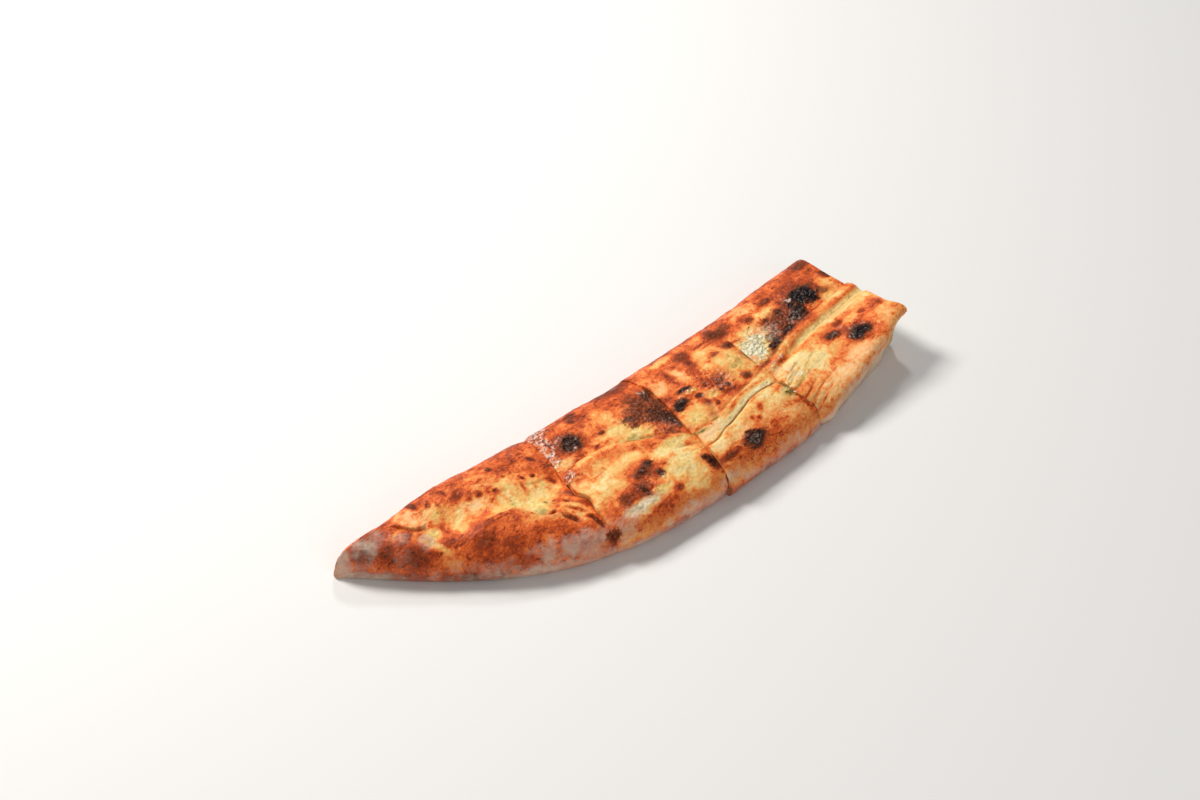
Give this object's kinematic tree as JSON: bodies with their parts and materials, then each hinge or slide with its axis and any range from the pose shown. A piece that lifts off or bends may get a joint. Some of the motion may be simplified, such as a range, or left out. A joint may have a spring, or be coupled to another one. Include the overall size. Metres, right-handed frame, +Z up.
{
  "type": "closed turkish pide, cut in slices",
  "caption": "Half of a long closed flatbread with a cheese and greens filling, pinched to a pointed end and cut across into slices that still lie together, flat on its base",
  "frame": {"origin": "middle of the bottom of the box that the bread fills, on the surface that it lies on", "axes": "+X from the pointed end to the cut end, +Y to the straight long side, +Z up"},
  "size_m": [0.3436, 0.1012, 0.0291],
  "materials": {
    "dough": "baked crust, golden to orange brown with dark scorch marks, brushed with butter on top and floury at the sides",
    "filling": "moist crumbly white cheese with chopped greens"
  },
  "bodies": {
    "root": {"dough_1": "dough", "dough_2": "dough", "dough_3": "dough", "dough_4": "dough", "filling_1": "filling", "filling_2": "filling", "filling_3": "filling", "filling_4": "filling"}
  },
  "joints": []
}
